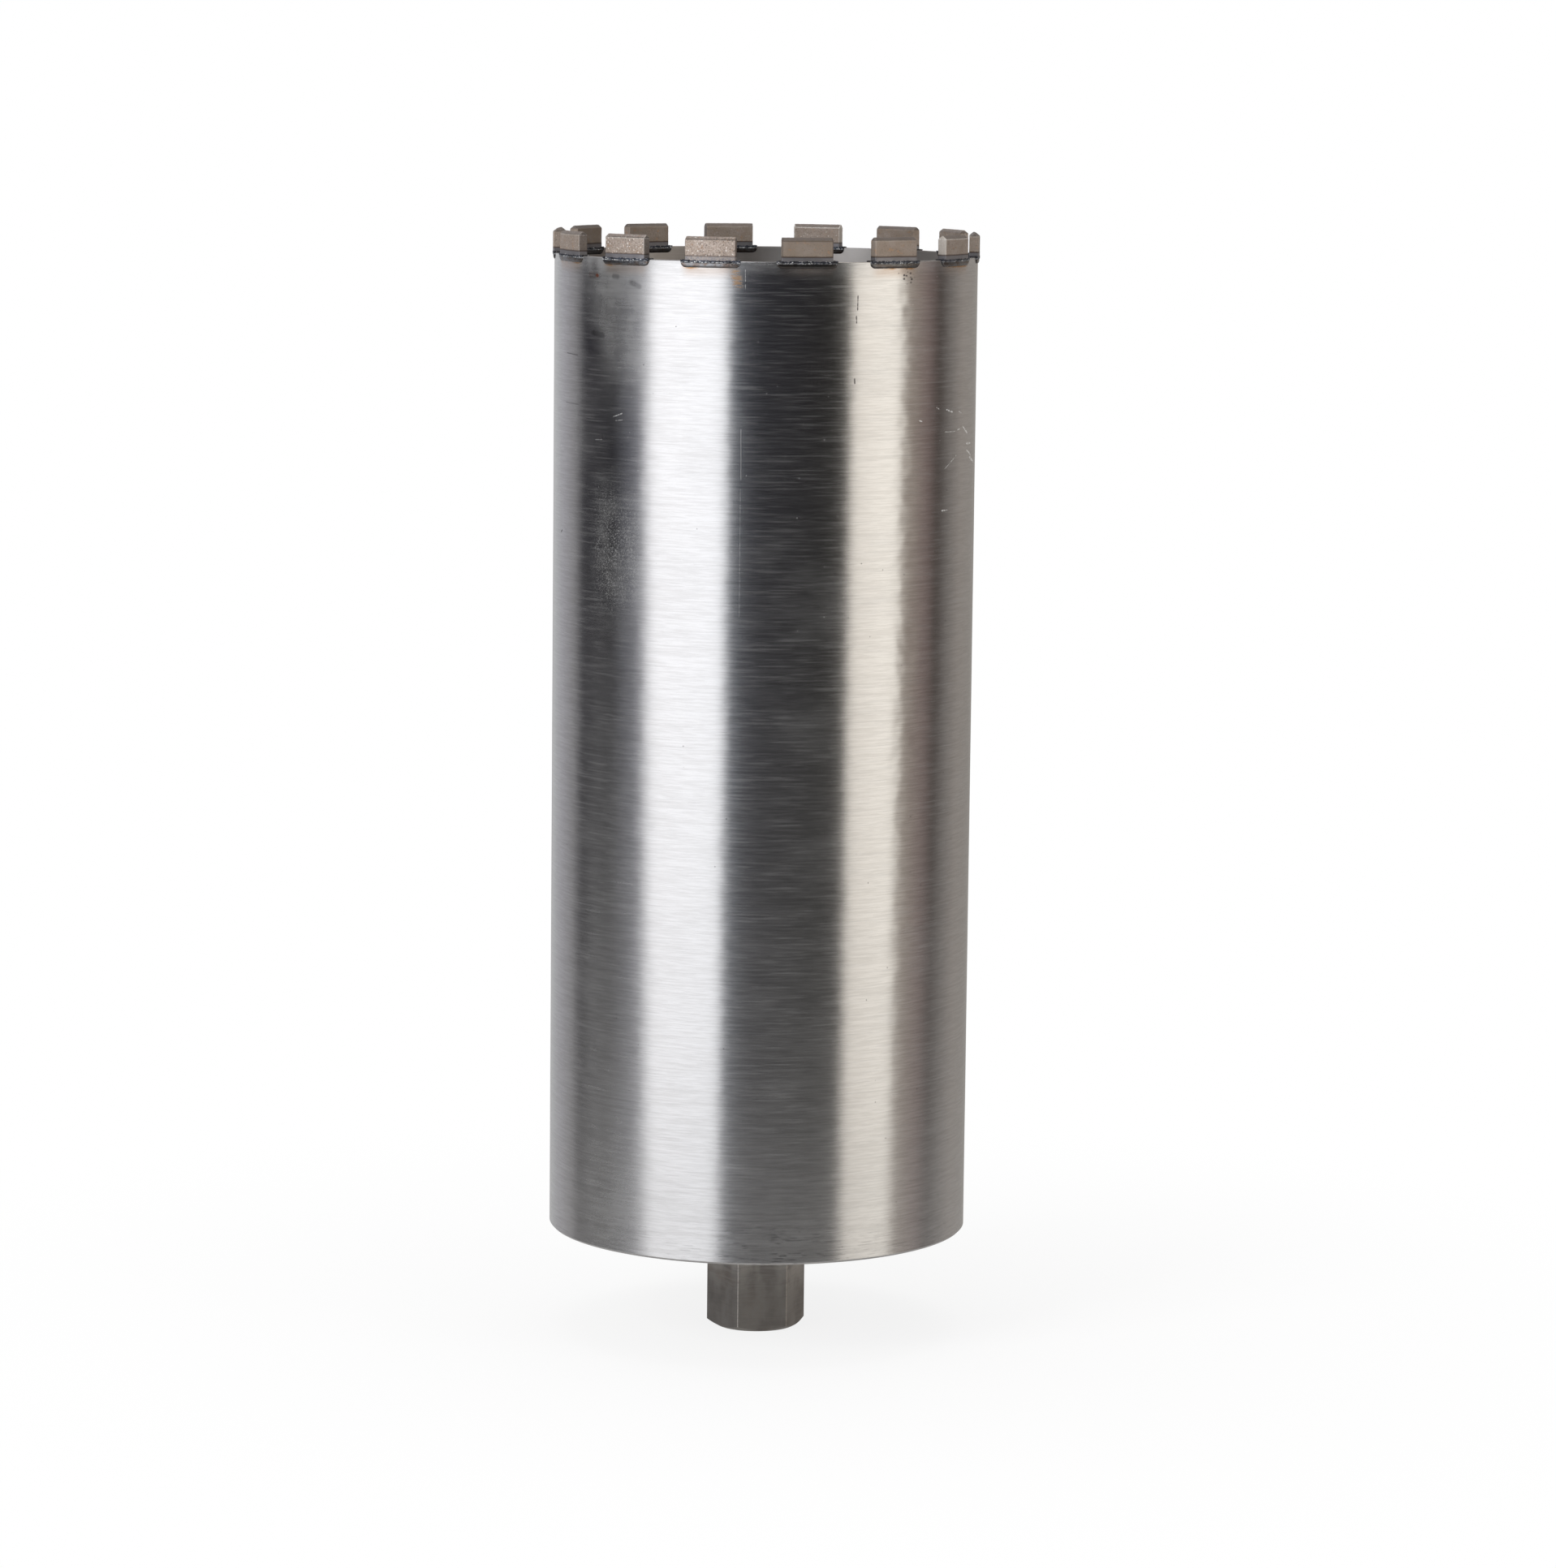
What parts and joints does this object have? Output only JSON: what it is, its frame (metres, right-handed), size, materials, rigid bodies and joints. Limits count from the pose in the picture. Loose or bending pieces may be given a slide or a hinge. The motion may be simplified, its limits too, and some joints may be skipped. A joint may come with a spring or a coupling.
{
  "type": "diamond core bit",
  "caption": "Wet core bit: a long brushed steel barrel, diamond segments brazed round its rim, and a welded back plate with a threaded hexagonal hub at its foot.",
  "frame": {"origin": "centre of the hub's end face, on the bit's axis, which is also the centre of the foot of the whole bit as it stands", "axes": "+Z along the bit's axis, from the hub up to the cutting rim; +X to the right and -Y towards the viewer in the picture"},
  "size_m": [0.2002, 0.2, 0.5231],
  "materials": {
    "barrel_steel": "brushed round the barrel, lightly stained and scratched",
    "plate_steel": "turned, dull",
    "hub_steel": "milled, darkened with brown stains",
    "weld_metal": "rippled, as welded",
    "segment_matrix": "gritty sintered metal with a smooth grey layer at the foot",
    "braze_metal": "oxidised, with bright flecks"
  },
  "bodies": {
    "root": {"barrel": "barrel_steel", "back_plate": "plate_steel", "hub": "hub_steel", "hub_weld": "weld_metal", "foot_weld": "weld_metal", "segment_01": "segment_matrix", "segment_02": "segment_matrix", "segment_03": "segment_matrix", "segment_04": "segment_matrix", "segment_05": "segment_matrix", "segment_06": "segment_matrix", "segment_07": "segment_matrix", "segment_08": "segment_matrix", "segment_09": "segment_matrix", "segment_10": "segment_matrix", "segment_11": "segment_matrix", "segment_12": "segment_matrix", "segment_13": "segment_matrix", "segment_14": "segment_matrix", "braze_collar_01": "braze_metal", "braze_collar_02": "braze_metal", "braze_collar_03": "braze_metal", "braze_collar_04": "braze_metal", "braze_collar_05": "braze_metal", "braze_collar_06": "braze_metal", "braze_collar_07": "braze_metal", "braze_collar_08": "braze_metal", "braze_collar_09": "braze_metal", "braze_collar_10": "braze_metal", "braze_collar_11": "braze_metal", "braze_collar_12": "braze_metal", "braze_collar_13": "braze_metal", "braze_collar_14": "braze_metal"}
  },
  "joints": []
}
